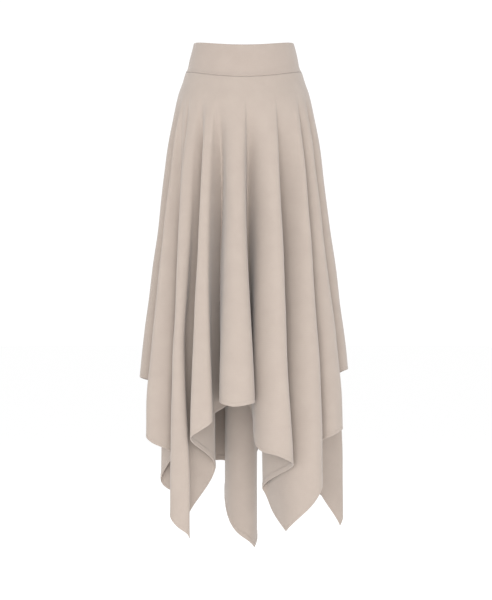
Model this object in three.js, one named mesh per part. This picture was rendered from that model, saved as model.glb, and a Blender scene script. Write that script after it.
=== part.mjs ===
import * as THREE from "three";

// Handkerchief-hem skirt, worn form without its wearer, in millimetres.
// +Z is up, the front faces -Y, and +X is the right-hand side of the picture.
// The origin is in the middle of the waist, 40 mm below the waistband's top edge at the sides.
// "Drop" is how far a point hangs below that top edge; angles run from the front (0) to +X (90).

const WAIST_ABOVE_ORIGIN = 40;
const BAND_DEPTH = 69;
const BAND_WALL = 2.4;
const CLOTH_WALL = 1.4;
const SEAM_GAP = 0.3;
const FRONT_DIP = 17;
const BACK_DIP = 2;

// The ellipse that the folds' crests touch, from the waist down.
const RINGS = [
  // drop, half_width, half_depth
  [0, 107.5, 86],
  [34, 115.5, 92.5],
  [60, 120.5, 97],
  [69, 125, 101],
  [90, 131.5, 107],
  [115, 140.5, 114.5],
  [156, 150.5, 123.5],
  [220, 162.5, 135],
  [296, 172.5, 146],
  [425, 188.5, 163],
  [554, 205, 180],
  [683, 221, 196],
  [790, 229, 205],
  [1130, 233, 210],
];

// The flat cut: a square with a round hole for the waist. Lengths run from the seam to the hem.
const HOLE_RADIUS = 113;
const CUT_STEP = 45;
const CUT = [
  // angle, length
  [0, 677],
  [45, 950],
  [90, 632],
  [135, 977],
  [180, 700],
  [225, 1027],
  [270, 650],
  [315, 962],
  [360, 677],
];

// The folds begin at FOLD_TOP and deepen early; from LEAN_TOP down they move from their hip angles
// to their hem angles, and from FOLD_FULL down they are full.
const FOLD_TOP = 115;
const FOLD_FULL = 800;
const FOLD_EASE = 0.03;
const DEPTH_POWER = 3;
const LEAN_TOP = 215;

// One row a fold, from the centre front round to the right. Angles are in degrees. A reach is the
// distance from the middle as a share of the ring's ellipse. hip and hip_half say where the fold
// starts, and hip_floor where the valley after it does, as a share of the way to the next fold. The
// crest, its left and right edge and the valley are where the cloth hangs at full depth. The cut
// columns say which part of the flat cut hangs at both edges and on both sides of the valley.
const FOLDS = [
  // hip, hip_half, hip_floor, crest, half, reach, left, right, cut_left, cut_right, valley,
  // floor_half, floor_in, floor_out, cut_in, cut_out
  [-6.4, 6.9, 0.32, -4.2, 11.4, 1.04, 0.86, 0.93, -4, 5, 5.6, 4.1, 0.44, 0.44, 7.5, 18],
  [20, 7, 0.28, 18, 10.8, 1.02, 0.78, 0.95, 29, 34.5, 28.3, 2.5, 0.43, 0.42, 38.5, 41],
  [47, 4.3, 0.28, 38.4, 9.4, 1, 0.78, 0.95, 45, 51.5, 53.5, 4, 0.55, 0.52, 54, 55.5],
  [61.8, 3.2, 0.3, 61, 8, 1, 0.9, 0.95, 58, 61, 76, 4.5, 0.6, 0.58, 69.7, 75.3],
  [80.5, 7, 0.5, 87.5, 8.5, 1.01, 0.93, 0.93, 84, 98, 98.5, 4, 0.66, 0.64, 114, 128],
  [107, 5.5, 0.5, 111.5, 6.5, 0.97, 0.95, 0.9, 135, 138.2, 123, 4.5, 0.58, 0.56, 143, 147],
  [130, 5, 0.5, 132, 8.5, 1.02, 0.92, 0.93, 151, 160, 143.5, 4, 0.55, 0.54, 164, 168],
  [153, 5, 0.5, 151.5, 7.5, 1.02, 0.92, 0.92, 172, 184, 159.5, 3, 0.57, 0.56, 189, 195],
  [176, 5, 0.5, 173.5, 6.5, 1.02, 0.93, 0.97, 203, 221, 182.2, 15, 0.4, 0.4, 225, 228.4],
  [198, 4.8, 0.5, 200, 10.5, 1.02, 0.97, 0.93, 234.8, 236.6, 215.5, 3, 0.58, 0.57, 237.2, 237.8],
  [220, 4.7, 0.5, 225.5, 7.5, 1.02, 0.92, 0.93, 239, 242.5, 234.8, 3, 0.6, 0.58, 243.3, 244],
  [241, 4.2, 0.5, 243.5, 7, 1.02, 0.93, 0.92, 245, 251, 252.5, 2.8, 0.68, 0.66, 252, 253],
  [258.5, 3.7, 0.5, 259, 5.5, 0.92, 0.86, 0.88, 254, 260, 265.5, 2.5, 0.76, 0.76, 262, 263],
  [275, 6, 0.66, 272.5, 6.5, 1, 0.94, 0.93, 265, 275, 280.5, 3, 0.7, 0.64, 284, 289.6],
  [296.3, 2.8, 0.66, 302.4, 7.6, 1.01, 0.965, 0.88, 298.5, 303.6, 300.7, 7.4, 0.83, 0.7, 309, 310.8],
  [312.8, 4.2, 0.34, 322.6, 6.1, 0.98, 0.96, 0.9, 312.4, 315, 324.5, 6.5, 0.76, 0.5, 317.5, 325.2],
  [331.1, 3.5, 0.28, 336.4, 6.8, 0.99, 0.95, 0.92, 332, 339.5, 341.5, 5, 0.68, 0.46, 342, 349],
];
const KNOTS_PER_FOLD = 5;
const RIGHT_SIDE_FOLD = 4;
const LEFT_SIDE_FOLD = 13;

// Half of the floor's share of the way between two folds, at the hip.
const HIP_FLOOR_HALF = 0.16;

// Where a valley or an edge swings sideways on its way down and comes back at the bottom drop.
const LEANS = [
  // hip_angle, half_width, top, middle, bottom, most
  [-21, 2.8, 260, 580, 840, -10],
  [-42, 4, 330, 640, 950, -5],
  [27, 4.5, 360, 700, 950, -2.6],
  [13, 3.5, 300, 600, 900, -1.6],
];

// Rows of the skirt panels as shares of the way from the seam to the hem.
const PANEL_ROWS = [0, 0.05, 0.1, 0.16, 0.23, 0.31, 0.4, 0.5, 0.6, 0.7, 0.79, 0.87, 0.94, 1];
const BAND_ROWS = [0, 0.25, 0.5, 0.75, 0.9, 1];
const COLUMNS_PER_KNOT = 2;
const BAND_COLUMNS = 30;

const radians = (degrees) => (degrees * Math.PI) / 180;
const blend = (a, b, share) => a + (b - a) * share;

// Knots of the closed curve round the skirt: [hip angle, hem angle, hem reach, cut angle].
function makeKnots() {
  const knots = [];
  FOLDS.forEach((fold, i) => {
    const [hip, hipHalf, hipFloor, crest, half, reach, left, right, cutLeft, cutRight] = fold;
    const [valley, floorHalf, floorIn, floorOut, cutIn, cutOut] = fold.slice(10);
    const next = FOLDS[(i + 1) % FOLDS.length];
    const valleyStart = hip + hipHalf;
    const valleyEnd = next[0] - next[1] + (i === FOLDS.length - 1 ? 360 : 0);
    const hipIn = blend(valleyStart, valleyEnd, hipFloor - HIP_FLOOR_HALF);
    const hipOut = blend(valleyStart, valleyEnd, hipFloor + HIP_FLOOR_HALF);
    knots.push([hip - hipHalf, crest - half, left, cutLeft]);
    knots.push([hip, crest, reach, (cutLeft + cutRight) / 2]);
    knots.push([hip + hipHalf, crest + half, right, cutRight]);
    knots.push([hipIn, valley - floorHalf, floorIn, cutIn]);
    knots.push([hipOut, valley + floorHalf, floorOut, cutOut]);
  });
  return knots;
}
const KNOTS = makeKnots();

// A knot by number; the angles gain 360 degrees each time round.
function knotAt(number) {
  const lap = Math.floor(number / KNOTS.length);
  const [hip, hem, reach, cut] = KNOTS[number - lap * KNOTS.length];
  return [hip + 360 * lap, hem + 360 * lap, reach, cut + 360 * lap];
}

// Smooth closed curve through the knots at place s, counted in knots.
function alongRing(s) {
  const k = Math.floor(s);
  const f = s - k;
  const [a, b, c, d] = [knotAt(k - 1), knotAt(k), knotAt(k + 1), knotAt(k + 2)];
  return b.map((value, i) => {
    const slope = c[i] - a[i];
    const bend = 2 * a[i] - 5 * value + 4 * c[i] - d[i];
    const twist = -a[i] + 3 * value - 3 * c[i] + d[i];
    return value + 0.5 * f * (slope + f * (bend + f * twist));
  });
}

// Half width and half depth of the ring at a drop, smooth between the table's rows.
function ringAt(drop) {
  let i = 0;
  while (i < RINGS.length - 2 && drop > RINGS[i + 1][0]) i += 1;
  const slopeAt = (j, column) => {
    const from = RINGS[Math.max(j - 1, 0)];
    const to = RINGS[Math.min(j + 1, RINGS.length - 1)];
    return (to[column] - from[column]) / (to[0] - from[0]);
  };
  const span = RINGS[i + 1][0] - RINGS[i][0];
  const f = Math.min(Math.max((drop - RINGS[i][0]) / span, 0), 1);
  return [1, 2].map((column) => {
    const start = RINGS[i][column];
    const rise = RINGS[i + 1][column] - start;
    const m0 = slopeAt(i, column) * span;
    const m1 = slopeAt(i + 1, column) * span;
    return start + f * (m0 + f * (3 * rise - 2 * m0 - m1 + f * (m0 + m1 - 2 * rise)));
  });
}

// Length from the seam to the hem at an angle of the flat cut, whose sides are straight lines.
function clothLength(angle) {
  const turn = angle - 360 * Math.floor(angle / 360);
  const k = Math.min(Math.floor(turn / CUT_STEP), CUT.length - 2);
  const from = CUT[k][1] + HOLE_RADIUS;
  const to = CUT[k + 1][1] + HOLE_RADIUS;
  const a = radians(turn - CUT[k][0]);
  const b = radians(CUT_STEP) - a;
  return (from * to * Math.sin(a + b)) / (from * Math.sin(a) + to * Math.sin(b)) - HOLE_RADIUS;
}

// How much of their full depth, and of their full lean and width, the folds have at a drop.
function foldGrowth(drop) {
  const f = Math.min(Math.max((drop - FOLD_TOP) / (FOLD_FULL - FOLD_TOP), 0), 1);
  const ease = ((1 + FOLD_EASE) * f) / (f + FOLD_EASE);
  const g = Math.min(Math.max((drop - LEAN_TOP) / (FOLD_FULL - LEAN_TOP), 0), 1);
  return { depth: ease * (1 - (1 - f) ** DEPTH_POWER), spread: g * g * (3 - 2 * g) };
}

// Degrees by which the cloth from a hip angle swings sideways at a drop.
function leanAt(hip, drop) {
  return LEANS.reduce((sum, [angle, half, top, middle, bottom, most]) => {
    const off = hip - angle - 360 * Math.round((hip - angle) / 360);
    const down = (drop - top) / (middle - top);
    const back = (bottom - drop) / (bottom - middle);
    const share = Math.min(Math.max(Math.min(down, back), 0), 1);
    return sum + most * Math.exp(-((off / half) ** 2)) * share * share * (3 - 2 * share);
  }, 0);
}

// The waist and the seam hang lower at the centre front than at the sides.
function heightAt(drop, angle) {
  const facing = Math.cos(angle);
  const dip = (facing > 0 ? FRONT_DIP : BACK_DIP) * facing * facing;
  return WAIST_ABOVE_ORIGIN - drop - dip;
}

// Outside of the skirt at ring place s.
function skirtPoint(s, drop) {
  const [hip, hem, hemReach] = alongRing(s);
  const [halfWidth, halfDepth] = ringAt(drop);
  const { depth, spread } = foldGrowth(drop);
  const angle = radians(blend(hip, hem, spread) + leanAt(hip, drop));
  const reach = blend(1, hemReach, depth);
  return new THREE.Vector3(
    halfWidth * reach * Math.sin(angle),
    -halfDepth * reach * Math.cos(angle),
    heightAt(drop, angle),
  );
}

// Outside of the waistband at an angle in degrees.
function bandPoint(degrees, drop) {
  const angle = radians(degrees);
  const [halfWidth, halfDepth] = ringAt(drop);
  return new THREE.Vector3(halfWidth * Math.sin(angle), -halfDepth * Math.cos(angle), heightAt(drop, angle));
}

// A grid of outside points and one of inside points, the wall being measured level across the cloth.
// place(column, row) gives [where along the ring, drop]; both side edges stand back half a seam gap.
function wallGrids(point, columns, rows, place, wall) {
  const outer = [];
  const inner = [];
  for (let row = 0; row < rows; row += 1) {
    for (let column = 0; column < columns; column += 1) {
      const [along, drop] = place(column, row);
      const here = point(along, drop);
      const from = here.clone().sub(point(place(column - 1, row)[0], drop)).setZ(0).normalize();
      const to = point(place(column + 1, row)[0], drop).sub(here).setZ(0).normalize();
      const tangent = from.add(to).normalize();
      const side = column === 0 ? 1 : column === columns - 1 ? -1 : 0;
      const outside = here.clone().addScaledVector(tangent, (side * SEAM_GAP) / 2);
      const inward = new THREE.Vector3(-tangent.y, tangent.x, 0);
      outer.push(outside);
      inner.push(outside.clone().addScaledVector(inward, wall));
    }
  }
  return { outer, inner };
}

// Closed shell from the two grids: outside, inside and the four rims.
function shell({ outer, inner }, columns, rows) {
  const points = [...outer, ...inner];
  const behind = outer.length;
  const index = [];
  const quad = (a, b, c, d) => index.push(a, b, c, a, c, d);
  const at = (column, row) => row * columns + column;
  for (let row = 0; row < rows - 1; row += 1) {
    for (let column = 0; column < columns - 1; column += 1) {
      const [a, b] = [at(column, row), at(column + 1, row)];
      const [c, d] = [at(column + 1, row + 1), at(column, row + 1)];
      quad(a, d, c, b);
      quad(a + behind, b + behind, c + behind, d + behind);
    }
  }
  const last = { column: columns - 1, row: rows - 1 };
  for (let column = 0; column < last.column; column += 1) {
    const [top, topNext] = [at(column, 0), at(column + 1, 0)];
    const [hem, hemNext] = [at(column, last.row), at(column + 1, last.row)];
    quad(top, topNext, topNext + behind, top + behind);
    quad(hem, hem + behind, hemNext + behind, hemNext);
  }
  for (let row = 0; row < last.row; row += 1) {
    const [left, leftBelow] = [at(0, row), at(0, row + 1)];
    const [right, rightBelow] = [at(last.column, row), at(last.column, row + 1)];
    quad(left, left + behind, leftBelow + behind, leftBelow);
    quad(right, rightBelow, rightBelow + behind, right + behind);
  }
  const geometry = new THREE.BufferGeometry();
  geometry.setAttribute("position", new THREE.Float32BufferAttribute(points.flatMap((p) => [p.x, p.y, p.z]), 3));
  geometry.setIndex(index);
  geometry.computeVertexNormals();
  return geometry;
}

function panelGeometry(firstKnot, lastKnot) {
  const columns = (lastKnot - firstKnot) * COLUMNS_PER_KNOT + 1;
  const rows = PANEL_ROWS.length;
  const place = (column, row) => {
    const s = firstKnot + column / COLUMNS_PER_KNOT;
    return [s, BAND_DEPTH + PANEL_ROWS[row] * clothLength(alongRing(s)[3])];
  };
  return shell(wallGrids(skirtPoint, columns, rows, place, CLOTH_WALL), columns, rows);
}

function bandGeometry(firstAngle, lastAngle) {
  const columns = BAND_COLUMNS + 1;
  const rows = BAND_ROWS.length;
  const place = (column, row) => [
    blend(firstAngle, lastAngle, column / BAND_COLUMNS),
    BAND_ROWS[row] * (BAND_DEPTH - SEAM_GAP),
  ];
  return shell(wallGrids(bandPoint, columns, rows, place, BAND_WALL), columns, rows);
}

function piece(name, geometry, material) {
  const mesh = new THREE.Mesh(geometry, material);
  mesh.name = name;
  return mesh;
}

function buildPart() {
  const bandCloth = new THREE.MeshStandardMaterial({ color: "#cdbcb2", roughness: 0.9, metalness: 0 });
  const skirtCloth = new THREE.MeshStandardMaterial({ color: "#d0c0b6", roughness: 0.92, metalness: 0 });
  const rightKnot = RIGHT_SIDE_FOLD * KNOTS_PER_FOLD + 1;
  const leftKnot = LEFT_SIDE_FOLD * KNOTS_PER_FOLD + 1;
  const rightHip = FOLDS[RIGHT_SIDE_FOLD][0];
  const leftHip = FOLDS[LEFT_SIDE_FOLD][0];
  const skirt = new THREE.Group();
  skirt.name = "handkerchief_hem_skirt";
  skirt.add(piece("waistband_front", bandGeometry(leftHip - 360, rightHip), bandCloth));
  skirt.add(piece("waistband_back", bandGeometry(rightHip, leftHip), bandCloth));
  skirt.add(piece("skirt_front", panelGeometry(leftKnot - KNOTS.length, rightKnot), skirtCloth));
  skirt.add(piece("skirt_back", panelGeometry(rightKnot, leftKnot), skirtCloth));
  return skirt;
}

export default buildPart();
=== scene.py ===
# Handkerchief-hem skirt above a white studio floor.
# Sizes in the tables are millimetres. A "drop" is how far a point hangs below the waistband's top
# edge at the sides. Angles run from the centre front (0) to the right of the picture (90).
import math

import bpy
import numpy as np
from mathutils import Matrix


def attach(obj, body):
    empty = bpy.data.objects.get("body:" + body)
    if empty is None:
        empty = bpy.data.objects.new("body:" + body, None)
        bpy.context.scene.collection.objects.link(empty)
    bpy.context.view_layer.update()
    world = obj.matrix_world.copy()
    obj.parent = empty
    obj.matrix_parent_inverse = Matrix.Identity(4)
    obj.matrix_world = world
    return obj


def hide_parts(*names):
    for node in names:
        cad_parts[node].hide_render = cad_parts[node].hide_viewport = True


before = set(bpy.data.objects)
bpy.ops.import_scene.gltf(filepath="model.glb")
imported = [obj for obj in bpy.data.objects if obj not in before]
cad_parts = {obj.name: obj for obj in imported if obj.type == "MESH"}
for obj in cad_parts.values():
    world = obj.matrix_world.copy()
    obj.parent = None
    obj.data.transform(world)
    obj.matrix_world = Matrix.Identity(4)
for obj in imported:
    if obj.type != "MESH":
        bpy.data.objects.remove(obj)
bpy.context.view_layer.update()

MM = 0.001

# The waist hangs lower at the centre front and back by a dip. At the sides the band's top edge lies
# lower and the seam higher by SIDE_PULL, which fades out at SIDE_PULL_END.
WAIST_ABOVE_ORIGIN = 40.0
BAND_DEPTH = 69.0
BAND_WALL = 2.4
CLOTH_WALL = 1.4
SEAM_GAP = 0.3
FRONT_DIP = 17.0
BACK_DIP = 2.0
SIDE_PULL = 3.0
SIDE_PULL_END = 260.0

# The ellipse that the folds' crests touch: drop, half width, half depth.
RINGS = np.array([
    (0, 107.5, 86),
    (34, 115.5, 92.5),
    (60, 120.5, 97),
    (69, 125, 101),
    (90, 131.5, 107),
    (115, 140.5, 114.5),
    (156, 150.5, 123.5),
    (220, 162.5, 135),
    (296, 172.5, 146),
    (425, 188.5, 163),
    (554, 205, 180),
    (683, 221, 196),
    (790, 229, 205),
    (1130, 233, 210),
], dtype=float)

# The flat cut: angle round the waist's hole, length from the seam to the hem.
HOLE_RADIUS = 113.0
CUT_STEP = 45.0
CUT = np.array([
    (0, 677),
    (45, 950),
    (90, 632),
    (135, 977),
    (180, 700),
    (225, 1027),
    (270, 650),
    (315, 962),
    (360, 677),
], dtype=float)

# Folds grow from FOLD_TOP to FOLD_FULL: their depth early, and from LEAN_TOP down they move from
# their hip angles to their hem angles.
FOLD_TOP = 115.0
FOLD_FULL = 800.0
FOLD_EASE = 0.03
DEPTH_POWER = 3.0
LEAN_TOP = 215.0

# One row a fold. A reach is the distance from the middle as a share of the ring's ellipse.
# At the hip: angle, half width, and the share of the way to the next fold where the valley's floor
# is. Where the fold is full: crest angle, half width and reach, reach of the left and right edge,
# cut angles of the two edges. The valley after it: angle, half width, reach on the way in and out,
# cut angle on the way in and out.
FOLDS = [
    (-6.4, 6.9, 0.32, -4.2, 11.4, 1.04, 0.86, 0.93, -4, 5, 5.6, 4.1, 0.44, 0.44, 7.5, 18),
    (20, 7, 0.28, 18, 10.8, 1.02, 0.78, 0.95, 29, 34.5, 28.3, 2.5, 0.43, 0.42, 38.5, 41),
    (47, 4.3, 0.28, 38.4, 9.4, 1, 0.78, 0.95, 45, 51.5, 53.5, 4, 0.55, 0.52, 54, 55.5),
    (61.8, 3.2, 0.3, 61, 8, 1, 0.9, 0.95, 58, 61, 76, 4.5, 0.6, 0.58, 69.7, 75.3),
    (80.5, 7, 0.5, 87.5, 8.5, 1.01, 0.93, 0.93, 84, 98, 98.5, 4, 0.66, 0.64, 114, 128),
    (107, 5.5, 0.5, 111.5, 6.5, 0.97, 0.95, 0.9, 135, 138.2, 123, 4.5, 0.58, 0.56, 143, 147),
    (130, 5, 0.5, 132, 8.5, 1.02, 0.92, 0.93, 151, 160, 143.5, 4, 0.55, 0.54, 164, 168),
    (153, 5, 0.5, 151.5, 7.5, 1.02, 0.92, 0.92, 172, 184, 159.5, 3, 0.57, 0.56, 189, 195),
    (176, 5, 0.5, 173.5, 6.5, 1.02, 0.93, 0.97, 203, 221, 182.2, 17.5, 0.4, 0.4, 225, 227.7),
    (198, 4.8, 0.5, 199.2, 11.2, 1.02, 0.97, 0.93, 234.8, 236.6, 215.5, 3, 0.58, 0.57, 237.2, 237.8),
    (220, 4.7, 0.5, 225.5, 7.5, 1.02, 0.92, 0.93, 239, 242.5, 234.8, 3, 0.6, 0.58, 243.3, 244),
    (241, 4.2, 0.5, 243.5, 7, 1.02, 0.93, 0.92, 245, 251, 252.5, 2.8, 0.68, 0.66, 252, 253),
    (258.5, 3.7, 0.5, 259, 5.5, 0.92, 0.86, 0.88, 254, 260, 265.5, 2.5, 0.76, 0.76, 262, 263),
    (275, 6, 0.66, 272.5, 6.5, 1, 0.94, 0.93, 265, 275, 280.5, 3, 0.7, 0.64, 284, 289.6),
    (296.3, 2.8, 0.66, 302.4, 7.6, 1.01, 0.965, 0.82, 298.5, 303.6, 300.7, 7.4, 0.83, 0.7, 309, 310.8),
    (312.8, 4.2, 0.34, 322.6, 6.1, 0.98, 0.96, 0.9, 312.4, 315, 324.5, 6.5, 0.76, 0.5, 317.5, 325.2),
    (331.1, 3.5, 0.28, 336.4, 6.8, 0.99, 0.95, 0.92, 332, 339.5, 341.5, 5, 0.68, 0.46, 342, 349),
]
KNOTS_PER_FOLD = 5
RIGHT_SIDE_FOLD = 4
LEFT_SIDE_FOLD = 13

# Half of the floor's share of the way between two folds, at the hip.
HIP_FLOOR_HALF = 0.16

# Soft ridges and, where the height is negative, troughs in the cloth: hip angle, top and bottom
# drop, half width in degrees, height. They fade out at both ends.
RIDGES = [
    (33.5, 150, 430, 2.6, 2.4),
    (39, 180, 1250, 3.8, -26),
    (56.5, 200, 900, 2.6, -13),
    (-38.5, 190, 380, 2.6, 1.4),
    (96, 200, 390, 3.0, 1.6),
    (119, 180, 360, 3.0, 1.8),
    (142, 220, 430, 3.0, 1.6),
    (164, 190, 370, 3.2, 2.0),
    (187, 210, 420, 3.0, 1.8),
    (209, 180, 350, 3.0, 1.6),
    (230, 220, 400, 2.8, 1.6),
    (250, 200, 380, 2.6, 1.2),
]

# Where a valley or an edge swings sideways on its way down and comes back: hip angle, half width in
# degrees, top, middle and bottom drop, and most degrees sideways.
LEANS = [
    (-20, 3.8, 220, 580, 840, -12),
    (-42, 4, 330, 640, 950, -5),
    (27, 4.5, 360, 700, 950, -2.6),
    (13, 3.5, 300, 600, 900, -1.6),
]

# Slow unevenness of the whole cloth: height, waves round the skirt, length of a wave, phase.
WAVES = [
    (0.5, 7, 310, 0.4),
    (0.4, 11, 190, 2.1),
    (0.3, 17, 130, 4.0),
]
WAVES_FADE_IN = 120.0

# Extra length of the front fold's hem: its middle on the flat cut, half width and height.
FRONT_SAG_ANGLE = 0.5
FRONT_SAG_HALF = 3.2
FRONT_SAG = 7.0

# The hem is folded up by HEM_WIDTH, which adds HEM_EXTRA to the wall, and sewn HEM_STITCH above its
# edge, where the thread draws the cloth in. HEM_STITCH_ROW counts grid rows up from the edge.
HEM_WIDTH = 11.0
HEM_EXTRA = 0.9
HEM_STEP = 1.6
HEM_STEP_ABOVE = 0.6
HEM_STITCH = 7.0
HEM_STITCH_ROW = 8
STITCH_SINK = 0.32
STITCH_SINK_HALF = 0.9
HEM_PUFF = 0.18
HEM_PUFF_HALF = 2.2

# The cloth is drawn in by SEAM_SINK at the waist seam, and by SIDE_SINK in the first columns at a
# side seam. Nearer to an edge than HEM_ROLL or BAND_ROLL, it is rounded by ROLL_SHARE of its wall on
# both sides. The dressed wall is THIN_BY thinner than the solid's, and never under LEAST_WALL.
SEAM_SINK = 0.8
SEAM_SINK_REACH = 2.2
SIDE_SINK = (0.5, 0.2, 0.04)
HEM_ROLL = 1.4
BAND_ROLL = 1.2
ROLL_SHARE = 0.42
THIN_BY = 0.1
LEAST_WALL = 0.5

STITCH_STEP = 3.2
STITCH_LENGTH = 2.3
STITCH_WIDTH = 0.55

SAMPLES_PER_KNOT = 8
SMOOTHING_PASSES = 5
BAND_COLUMNS = 150


def lerp(a, b, share):
    return a + (b - a) * share


def make_knots():
    """Knots of the closed curve round the skirt: hip angle, hem angle, hem reach, cut angle."""
    count = len(FOLDS)
    knots = []
    for i, fold in enumerate(FOLDS):
        hip, hip_half, hip_floor, crest, half, reach, left, right, cut_left, cut_right = fold[:10]
        valley, floor_half, floor_in, floor_out, cut_in, cut_out = fold[10:]
        after = FOLDS[(i + 1) % count]
        valley_start = hip + hip_half
        valley_end = after[0] - after[1] + (360 if i == count - 1 else 0)
        hip_in = lerp(valley_start, valley_end, hip_floor - HIP_FLOOR_HALF)
        hip_out = lerp(valley_start, valley_end, hip_floor + HIP_FLOOR_HALF)
        knots.append((hip - hip_half, crest - half, left, cut_left))
        knots.append((hip, crest, reach, (cut_left + cut_right) / 2))
        knots.append((hip + hip_half, crest + half, right, cut_right))
        knots.append((hip_in, valley - floor_half, floor_in, cut_in))
        knots.append((hip_out, valley + floor_half, floor_out, cut_out))
    return np.array(knots, dtype=float)


KNOTS = make_knots()


def knots_at(numbers):
    """Knots by number; the angles gain 360 degrees each time round."""
    laps = numbers // len(KNOTS)
    found = KNOTS[numbers % len(KNOTS)].copy()
    found[:, (0, 1, 3)] += 360.0 * laps[:, None]
    return found


def along_ring(s):
    """Smooth closed curve through the knots at places s, counted in knots."""
    whole = np.floor(s).astype(int)
    f = (s - whole)[:, None]
    a, b, c, d = (knots_at(whole + step) for step in (-1, 0, 1, 2))
    return b + 0.5 * f * ((c - a) + f * ((2 * a - 5 * b + 4 * c - d) + f * (3 * b - a - 3 * c + d)))


def softened(s):
    """The curve with its tight turns eased, as cloth would turn; the cut angle is kept."""
    step = 1.0 / SAMPLES_PER_KNOT
    reach = range(-SMOOTHING_PASSES, SMOOTHING_PASSES + 1)
    weights = [math.comb(2 * SMOOTHING_PASSES, k + SMOOTHING_PASSES) for k in reach]
    total = sum(weights)
    soft = sum(w * along_ring(s + k * step) for w, k in zip(weights, reach)) / total
    soft[:, 3] = along_ring(s)[:, 3]
    return soft


def ring_at(drop):
    """Half width and half depth of the ring at drops of any array shape."""
    drops = RINGS[:, 0]
    i = np.clip(np.searchsorted(drops, drop, side="right") - 1, 0, len(drops) - 2)
    span = drops[i + 1] - drops[i]
    f = np.clip((drop - drops[i]) / span, 0, 1)
    low = np.maximum(np.arange(len(drops)) - 1, 0)
    high = np.minimum(np.arange(len(drops)) + 1, len(drops) - 1)
    sizes = []
    for column in (1, 2):
        value = RINGS[:, column]
        slope = (value[high] - value[low]) / (drops[high] - drops[low])
        rise = value[i + 1] - value[i]
        m0 = slope[i] * span
        m1 = slope[i + 1] * span
        sizes.append(value[i] + f * (m0 + f * (3 * rise - 2 * m0 - m1 + f * (m0 + m1 - 2 * rise))))
    return sizes


def cloth_length(angle):
    """Length from the seam to the hem at an angle of the flat cut, whose sides are straight."""
    turn = np.mod(angle, 360.0)
    k = np.minimum((turn // CUT_STEP).astype(int), len(CUT) - 2)
    start = CUT[k, 1] + HOLE_RADIUS
    end = CUT[k + 1, 1] + HOLE_RADIUS
    a = np.radians(turn - CUT[k, 0])
    b = math.radians(CUT_STEP) - a
    return start * end * np.sin(a + b) / (start * np.sin(a) + end * np.sin(b)) - HOLE_RADIUS


def hem_sag(angle):
    """The front fold's hem has stretched a little in its middle."""
    off = np.mod(angle - FRONT_SAG_ANGLE + 180.0, 360.0) - 180.0
    return FRONT_SAG * np.exp(-((off / FRONT_SAG_HALF) ** 2))


def fold_growth(drop):
    """Shares that the folds have at a drop of their depth and of their way to the hem angles."""
    f = np.clip((drop - FOLD_TOP) / (FOLD_FULL - FOLD_TOP), 0, 1)
    depth = (1 + FOLD_EASE) * f / (f + FOLD_EASE) * (1 - (1 - f) ** DEPTH_POWER)
    g = np.clip((drop - LEAN_TOP) / (FOLD_FULL - LEAN_TOP), 0, 1)
    return depth, g * g * (3 - 2 * g)


def height_at(drop, angle):
    """Height of a point; the band is a little narrower at the sides than at the centre front."""
    facing = np.cos(angle)
    dip = np.where(facing > 0, FRONT_DIP, BACK_DIP) * facing ** 2
    pull = np.interp(drop, (0, BAND_DEPTH, SIDE_PULL_END), (-SIDE_PULL, SIDE_PULL, 0))
    return WAIST_ABOVE_ORIGIN - drop - dip + pull * np.sin(angle) ** 2


def lean(hip, drop):
    """Degrees by which the cloth from a hip angle swings sideways at a drop."""
    shift = np.zeros_like(drop)
    for angle, half, top, middle, bottom, most in LEANS:
        off = np.mod(hip - angle + 180.0, 360.0) - 180.0
        rise = np.clip((drop - top) / (middle - top), 0, 1)
        fall = np.clip((bottom - drop) / (bottom - middle), 0, 1)
        share = np.minimum(rise, fall)
        shift += most * np.exp(-((off / half) ** 2)) * share * share * (3 - 2 * share)
    return shift


def relief(hip, drop):
    """Height in millimetres of the ridges, troughs and unevenness."""
    height = np.zeros_like(drop)
    for angle, top, bottom, half, tall in RIDGES:
        off = np.mod(hip - angle + 180.0, 360.0) - 180.0
        length = np.clip((drop - top) / (bottom - top), 0, 1)
        height += tall * np.exp(-((off / half) ** 2)) * np.sin(math.pi * length) ** 2
    fade = np.clip((drop - BAND_DEPTH) / WAVES_FADE_IN, 0, 1)
    for tall, turns, length, phase in WAVES:
        height += fade * tall * np.sin(np.radians(hip) * turns + 2 * math.pi * drop / length + phase)
    return height


def skirt_points(ring, drop):
    """Outside of the skirt for ring values (hip, hem, reach, cut) and a grid of drops."""
    hip, hem, hem_reach = ring[:, 0], ring[:, 1], ring[:, 2]
    half_width, half_depth = ring_at(drop)
    depth, spread = fold_growth(drop)
    hips = np.broadcast_to(hip, drop.shape)
    angle = np.radians(lerp(hip, hem, spread) + lean(hips, drop))
    reach = lerp(1.0, hem_reach, depth) + relief(hips, drop) / half_width
    x = half_width * reach * np.sin(angle)
    y = -half_depth * reach * np.cos(angle)
    return np.stack([x, y, height_at(drop, angle)], axis=-1)


def grid_normals(points):
    """Outward unit normals of a grid whose rows run down and whose columns run to the right."""
    down = np.gradient(points, axis=0)
    across = np.gradient(points, axis=1)
    normal = np.cross(down, across)
    return normal / np.linalg.norm(normal, axis=-1, keepdims=True)


def grid_uv(points):
    """Distances in metres along the rows and down the columns, for the weave."""
    across = np.linalg.norm(np.diff(points, axis=1), axis=-1)
    down = np.linalg.norm(np.diff(points, axis=0), axis=-1)
    u = np.concatenate([np.zeros((len(points), 1)), np.cumsum(across, axis=1)], axis=1)
    v = np.concatenate([np.zeros((1, points.shape[1])), np.cumsum(down, axis=0)], axis=0)
    u -= u[:, u.shape[1] // 2][:, None]
    return np.stack([u, -v], axis=-1) * MM


def new_object(name, mesh, material):
    """Smooth piece that rides on the part's root."""
    piece = bpy.data.objects.new(name, mesh)
    bpy.context.collection.objects.link(piece)
    mesh.materials.append(material)
    mesh.polygons.foreach_set("use_smooth", np.ones(len(mesh.polygons), dtype=bool))
    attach(piece, "root")
    return piece


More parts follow.
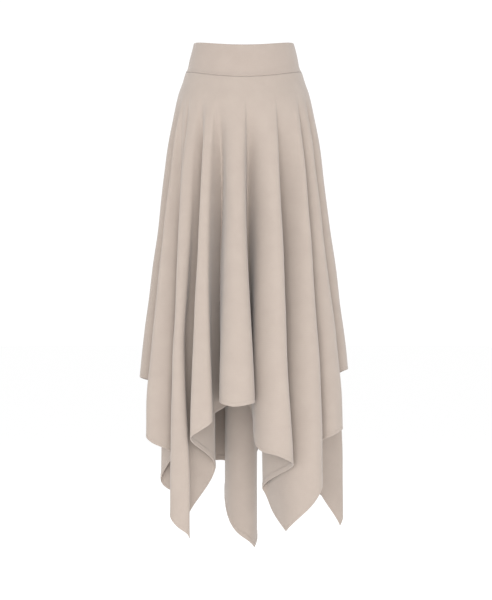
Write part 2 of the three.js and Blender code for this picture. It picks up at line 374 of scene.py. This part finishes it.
def shell_mesh(name, outer, inner):
    """Closed cloth shell from an outside and an inside grid of points in millimetres."""
    rows, columns = outer.shape[:2]
    count = rows * columns
    numbers = np.arange(count).reshape(rows, columns)
    a = numbers[:-1, :-1].ravel()
    b = numbers[:-1, 1:].ravel()
    c = numbers[1:, 1:].ravel()
    d = numbers[1:, :-1].ravel()
    front = np.stack([a, d, c, b], axis=1)
    back = np.stack([a, b, c, d], axis=1) + count
    top = numbers[0]
    hem = numbers[-1]
    left = numbers[:, 0]
    right = numbers[:, -1]
    rims = [
        np.stack([top[:-1], top[1:], top[1:] + count, top[:-1] + count], axis=1),
        np.stack([hem[:-1], hem[:-1] + count, hem[1:] + count, hem[1:]], axis=1),
        np.stack([left[:-1], left[:-1] + count, left[1:] + count, left[1:]], axis=1),
        np.stack([right[:-1], right[1:], right[1:] + count, right[:-1] + count], axis=1),
    ]
    faces = np.concatenate([front, back, *rims])
    points = np.concatenate([outer.reshape(-1, 3), inner.reshape(-1, 3)]) * MM
    uv = np.concatenate([grid_uv(outer).reshape(-1, 2), grid_uv(inner).reshape(-1, 2)])
    mesh = bpy.data.meshes.new(name)
    mesh.from_pydata(points.tolist(), [], faces.tolist())
    layer = mesh.uv_layers.new(name="cloth")
    layer.data.foreach_set("uv", uv[faces.ravel()].ravel())
    mesh.update()
    return mesh


def panel_drops(length):
    """Rows down a panel: a rolled edge under the band, even rows, then close rows at the hem."""
    top = np.array([0.0, 0.4, 1.0, 2.2, 4.5, 9.0])
    fold_edge = [15.0, 12.5, HEM_WIDTH, 10.0]
    stitch_line = [8.6, 7.6, HEM_STITCH, 6.4]
    hem = np.array(fold_edge + stitch_line + [5.0, 3.0, 1.4, 0.6, 0.2, 0.0])
    middle = 96
    share = (np.arange(1, middle + 1) / (middle + 1))[:, None]
    upper = lerp(top[-1], length - hem[0], share)
    rows = [np.broadcast_to(top[:, None], (len(top), len(length))), upper, length - hem[:, None]]
    return BAND_DEPTH + np.concatenate(rows)


def panel_places(first_knot, last_knot):
    """Places along the ring, with close ones at the two side seams."""
    samples = np.arange(first_knot * SAMPLES_PER_KNOT + 1, last_knot * SAMPLES_PER_KNOT)
    inner = samples / SAMPLES_PER_KNOT
    edge = np.array([0.0, 0.03, 0.07])
    return np.concatenate([first_knot + edge, inner, (last_knot - edge)[::-1]])


def panel_grids(first_knot, last_knot):
    """Outside, inside and normals of a panel, drawn in at its seams and hem stitches."""
    s = panel_places(first_knot, last_knot)
    ring = softened(s)
    length = cloth_length(ring[:, 3]) + hem_sag(ring[:, 3])
    drop = panel_drops(length)
    points = skirt_points(ring, drop)
    normal = grid_normals(points)
    tangent = np.gradient(points, axis=1)
    tangent /= np.linalg.norm(tangent, axis=-1, keepdims=True)
    points[:, 0] += tangent[:, 0] * SEAM_GAP / 2
    points[:, -1] -= tangent[:, -1] * SEAM_GAP / 2

    from_seam = drop - BAND_DEPTH
    from_hem = BAND_DEPTH + length - drop
    sink = SEAM_SINK * np.clip(1 - from_seam / SEAM_SINK_REACH, 0, 1) ** 2
    side = np.zeros(len(s))
    side[:3] = side[-3:][::-1] = SIDE_SINK
    sink = sink + side[None, :]
    sink = sink + STITCH_SINK * np.exp(-(((from_hem - HEM_STITCH) / STITCH_SINK_HALF) ** 2))
    sink = sink - HEM_PUFF * np.exp(-(((from_hem - HEM_STITCH / 2) / HEM_PUFF_HALF) ** 2))
    roll = np.clip(1 - from_hem / HEM_ROLL, 0, 1) ** 2
    fold_top = HEM_WIDTH + HEM_STEP_ABOVE
    hem_extra = HEM_EXTRA * np.clip((fold_top - from_hem) / HEM_STEP, 0, 1)
    wall = CLOTH_WALL - THIN_BY + hem_extra
    outer = points - normal * (sink + roll * wall * ROLL_SHARE)[..., None]
    inner = points - normal * (np.maximum(wall, sink + LEAST_WALL) - roll * wall * ROLL_SHARE)[..., None]
    return outer, inner, normal


def band_grids(first_angle, last_angle):
    """Outside and inside of a half of the waistband, its edges rolled and its sides slightly uneven."""
    angle = np.radians(np.linspace(first_angle, last_angle, BAND_COLUMNS))
    top = np.array([0.0, 0.15, 0.5, 1.2, 2.4])
    bottom = np.array([2.2, 1.2, 0.5, 0.15, 0.0])
    depth = BAND_DEPTH - SEAM_GAP / 2
    middle = np.linspace(4.5, depth - 4.5, 26)
    drops = np.concatenate([top, middle, depth - bottom])
    drop = np.broadcast_to(drops[:, None], (len(drops), len(angle)))
    half_width, half_depth = ring_at(drop)
    wave = 0.25 * np.sin(angle * 5 + drop / 23.0) + 0.18 * np.sin(angle * 9 - drop / 14.0 + 1.0)
    wave = wave * np.sin(math.pi * drop / depth)
    x = (half_width + wave) * np.sin(angle)
    y = -(half_depth + wave) * np.cos(angle)
    points = np.stack([x, y, height_at(drop, angle)], axis=-1)
    normal = grid_normals(points)
    tangent = np.gradient(points, axis=1)
    tangent /= np.linalg.norm(tangent, axis=-1, keepdims=True)
    points[:, 0] += tangent[:, 0] * SEAM_GAP / 2
    points[:, -1] -= tangent[:, -1] * SEAM_GAP / 2
    round_top = np.clip(1 - drop / BAND_ROLL, 0, 1) ** 2
    round_bottom = np.clip(1 - (depth - drop) / BAND_ROLL, 0, 1) ** 2
    roll = np.maximum(round_top, round_bottom) * BAND_WALL * ROLL_SHARE
    level = normal * (1, 1, 0)
    level /= np.linalg.norm(level, axis=-1, keepdims=True)
    outer = points - level * roll[..., None]
    inner = points - level * (BAND_WALL - roll)[..., None]
    return outer, inner


def stitch_mesh(name, outer, normal, row_from_end):
    """Short raised bars along one row of a grid, the ends sunk into the cloth."""
    row = outer.shape[0] - row_from_end
    line = outer[row]
    out = normal[row]
    across = outer[row + 1] - outer[row - 1]
    across /= np.linalg.norm(across, axis=-1, keepdims=True)
    gaps = np.linalg.norm(np.diff(line, axis=0), axis=-1)
    distance = np.concatenate([[0], np.cumsum(gaps)])
    starts = np.arange(2.0, distance[-1] - 4.0, STITCH_STEP)
    shape = np.array([(-0.5, 0.0), (-0.3, 0.62), (0.3, 0.62), (0.5, 0.0)])
    stations = np.array([(0.0, 0.1), (0.25, 1.0), (0.75, 1.0), (1.0, 0.1)])
    points = []
    faces = []
    for start in starts:
        base = len(points)
        for along, tall in stations:
            d = start + along * STITCH_LENGTH
            p = np.array([np.interp(d, distance, line[:, k]) for k in range(3)])
            n = np.array([np.interp(d, distance, out[:, k]) for k in range(3)])
            w = np.array([np.interp(d, distance, across[:, k]) for k in range(3)])
            for wide, high in shape:
                aside = w * wide * STITCH_WIDTH * (0.5 + 0.5 * tall)
                up = n * (high * tall * STITCH_WIDTH - 0.05)
                points.append(p + aside + up)
        for k in range(len(stations) - 1):
            for j in range(len(shape) - 1):
                a = base + k * len(shape) + j
                faces.append((a, a + 1, a + 1 + len(shape), a + len(shape)))
    mesh = bpy.data.meshes.new(name)
    mesh.from_pydata((np.array(points) * MM).tolist(), [], faces)
    mesh.update()
    return mesh


# The crepe's look: gloss and nap, the size of the mottling and grain, and the weave's relief in metres.
CLOTH_GLOSS = 0.18
NAP = 0.25
NAP_ROUGHNESS = 0.55
MOTTLING_SCALE = 28.0
MOTTLING_DETAIL = 4.0
MOTTLING_ROUGHNESS = 0.6
MOTTLING_FROM = 0.32
MOTTLING_TO = 0.68
WEAVE_TURNS = 20.0
WEAVE_UNEVENNESS = 0.8
GRAIN_SCALE = 900.0
RELIEF_STRENGTH = 0.35
RELIEF_DEPTH = 0.00016


def link(tree, start, end):
    tree.links.new(start, end)


def cloth_material(name, light, dark, roughness, weave_size):
    """Matte crepe jersey: soft mottling, a fine crossed weave and a grainy nap."""
    material = bpy.data.materials.new(name)
    material.use_nodes = True
    tree = material.node_tree
    nodes = tree.nodes
    shader = nodes["Principled BSDF"]
    shader.inputs["Roughness"].default_value = roughness
    shader.inputs["Specular IOR Level"].default_value = CLOTH_GLOSS
    shader.inputs["Sheen Weight"].default_value = NAP
    shader.inputs["Sheen Roughness"].default_value = NAP_ROUGHNESS
    place = nodes.new("ShaderNodeTexCoord")
    patches = nodes.new("ShaderNodeTexNoise")
    patches.inputs["Scale"].default_value = MOTTLING_SCALE
    patches.inputs["Detail"].default_value = MOTTLING_DETAIL
    patches.inputs["Roughness"].default_value = MOTTLING_ROUGHNESS
    link(tree, place.outputs["Object"], patches.inputs["Vector"])
    ramp = nodes.new("ShaderNodeValToRGB")
    ramp.color_ramp.elements[0].position = MOTTLING_FROM
    ramp.color_ramp.elements[0].color = (*dark, 1.0)
    ramp.color_ramp.elements[1].position = MOTTLING_TO
    ramp.color_ramp.elements[1].color = (*light, 1.0)
    link(tree, patches.outputs["Fac"], ramp.inputs["Fac"])
    link(tree, ramp.outputs["Color"], shader.inputs["Base Color"])

    weave = []
    for direction in ("X", "Y"):
        wave = nodes.new("ShaderNodeTexWave")
        wave.wave_type = "BANDS"
        wave.bands_direction = direction
        wave.inputs["Scale"].default_value = 1.0 / (weave_size * WEAVE_TURNS)
        wave.inputs["Distortion"].default_value = WEAVE_UNEVENNESS
        wave.inputs["Detail"].default_value = 1.0
        wave.inputs["Detail Scale"].default_value = 1.4
        link(tree, place.outputs["UV"], wave.inputs["Vector"])
        weave.append(wave)
    crossed = nodes.new("ShaderNodeMath")
    crossed.operation = "MULTIPLY"
    link(tree, weave[0].outputs["Fac"], crossed.inputs[0])
    link(tree, weave[1].outputs["Fac"], crossed.inputs[1])
    grain = nodes.new("ShaderNodeTexNoise")
    grain.inputs["Scale"].default_value = GRAIN_SCALE
    grain.inputs["Detail"].default_value = 2.0
    link(tree, place.outputs["Object"], grain.inputs["Vector"])
    height = nodes.new("ShaderNodeMath")
    height.operation = "ADD"
    link(tree, crossed.outputs[0], height.inputs[0])
    link(tree, grain.outputs["Fac"], height.inputs[1])
    bump = nodes.new("ShaderNodeBump")
    bump.inputs["Strength"].default_value = RELIEF_STRENGTH
    bump.inputs["Distance"].default_value = RELIEF_DEPTH
    link(tree, height.outputs[0], bump.inputs["Height"])
    link(tree, bump.outputs["Normal"], shader.inputs["Normal"])
    return material


SKIRT_LIGHT = (0.362, 0.306, 0.267)
SKIRT_DARK = (0.344, 0.29, 0.253)
BAND_LIGHT = (0.354, 0.298, 0.261)
BAND_DARK = (0.338, 0.283, 0.247)
THREAD_LIGHT = (0.362, 0.301, 0.259)
THREAD_DARK = (0.344, 0.285, 0.245)
CLOTH_WEAVE = 0.0007
THREAD_WEAVE = 0.0004

skirt_cloth = cloth_material("skirt_cloth", SKIRT_LIGHT, SKIRT_DARK, 0.92, CLOTH_WEAVE)
band_cloth = cloth_material("waistband_cloth", BAND_LIGHT, BAND_DARK, 0.9, CLOTH_WEAVE)
thread = cloth_material("thread", THREAD_LIGHT, THREAD_DARK, 0.8, THREAD_WEAVE)

right_knot = RIGHT_SIDE_FOLD * KNOTS_PER_FOLD + 1
left_knot = LEFT_SIDE_FOLD * KNOTS_PER_FOLD + 1
right_hip = FOLDS[RIGHT_SIDE_FOLD][0]
left_hip = FOLDS[LEFT_SIDE_FOLD][0]

# name, first and last knot, flat width and length of the cut and its area in metres
PANELS = [
    ("skirt_front", left_knot - len(KNOTS), right_knot, (1.53, 0.80), 1.15),
    ("skirt_back", right_knot, left_knot, (1.58, 0.81), 1.21),
]
# name, first and last hip angle, flat width and length of the cut and its area in metres
BANDS = [
    ("waistband_front", left_hip - 360, right_hip, (0.345, 0.07), 0.0225),
    ("waistband_back", right_hip, left_hip, (0.385, 0.07), 0.0255),
]

for name, first_angle, last_angle, flat, area in BANDS:
    outer, inner = band_grids(first_angle, last_angle)
    mesh = shell_mesh(name + "_cloth", outer, inner)
    piece = new_object(name + "_cloth", mesh, band_cloth)
    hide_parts(name)

for name, first_knot, last_knot, flat, area in PANELS:
    outer, inner, normal = panel_grids(first_knot, last_knot)
    mesh = shell_mesh(name + "_cloth", outer, inner)
    piece = new_object(name + "_cloth", mesh, skirt_cloth)
    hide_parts(name)
    sewing = stitch_mesh(name + "_hem_stitches", outer, normal, HEM_STITCH_ROW)
    stitches = new_object(name + "_hem_stitches", sewing, thread)


FLOOR_RADIUS = 30.0
FLOOR_Z = -1.42


def stage_floor():
    """Wide pale floor below the hem."""
    place = (0, 0, FLOOR_Z)
    bpy.ops.mesh.primitive_circle_add(vertices=96, radius=FLOOR_RADIUS, fill_type="NGON", location=place)
    floor = bpy.context.object
    floor.name = "floor"
    material = bpy.data.materials.new("studio_white")
    material.use_nodes = True
    shader = material.node_tree.nodes["Principled BSDF"]
    shader.inputs["Base Color"].default_value = (0.94, 0.94, 0.94, 1.0)
    shader.inputs["Roughness"].default_value = 0.9
    shader.inputs["Specular IOR Level"].default_value = 0.0
    floor.data.materials.append(material)


def area_light(name, place, aim, size, power):
    """Soft rectangular lamp at a place, turned to face another."""
    data = bpy.data.lights.new(name, "AREA")
    data.shape = "RECTANGLE"
    data.size, data.size_y = size
    data.energy = power
    lamp = bpy.data.objects.new(name, data)
    bpy.context.collection.objects.link(lamp)
    lamp.location = place
    away = np.array(place) - np.array(aim)
    yaw = math.atan2(away[0], -away[1])
    pitch = math.atan2(away[2], math.hypot(away[0], away[1]))
    lamp.rotation_euler = (math.pi / 2 - pitch, 0.0, yaw)


SKY_STRENGTH = 1.06

# name, place, what it faces, width and height in metres, power in watts
LAMPS = [
    ("key", (-0.5, -4.0, -0.4), (0.0, 0.0, -0.7), (1.6, 2.0), 63.0),
    ("fill", (0.5, -4.0, -1.0), (0.0, 0.0, -0.7), (1.6, 2.0), 63.0),
    ("back", (0.0, 2.8, 2.6), (0.0, 0.0, -0.6), (1.6, 1.6), 50.0),
]


def stage_light():
    world = bpy.data.worlds.new("studio")
    bpy.context.scene.world = world
    world.use_nodes = True
    sky = world.node_tree.nodes["Background"]
    sky.inputs["Color"].default_value = (1.0, 1.0, 1.0, 1.0)
    sky.inputs["Strength"].default_value = SKY_STRENGTH
    for name, place, aim, size, power in LAMPS:
        area_light(name, place, aim, size, power)
    bpy.context.scene.view_settings.view_transform = "Standard"


# The photograph's frame is 492 x 600 pixels; one pixel is 2.15 mm at the skirt's middle.
PHOTO_WIDTH = 492
PHOTO_CENTRE = (246.0, 300.0)
SKIRT_AXIS_X = 243.8
WAIST_TOP_Y = 42.5
PIXEL = 2.15
CAMERA_DISTANCE = 3600.0


def stage_camera():
    data = bpy.data.cameras.new("camera")
    data.sensor_fit = "HORIZONTAL"
    data.sensor_width = 36.0
    data.lens = 36.0 * CAMERA_DISTANCE / (PHOTO_WIDTH * PIXEL)
    data.clip_end = 50.0
    camera = bpy.data.objects.new("camera", data)
    bpy.context.collection.objects.link(camera)
    x = (PHOTO_CENTRE[0] - SKIRT_AXIS_X) * PIXEL
    z = WAIST_ABOVE_ORIGIN - (PHOTO_CENTRE[1] - WAIST_TOP_Y) * PIXEL
    camera.location = (x * MM, -CAMERA_DISTANCE * MM, z * MM)
    camera.rotation_euler = (math.pi / 2, 0.0, 0.0)
    bpy.context.scene.camera = camera


stage_floor()
stage_light()
stage_camera()
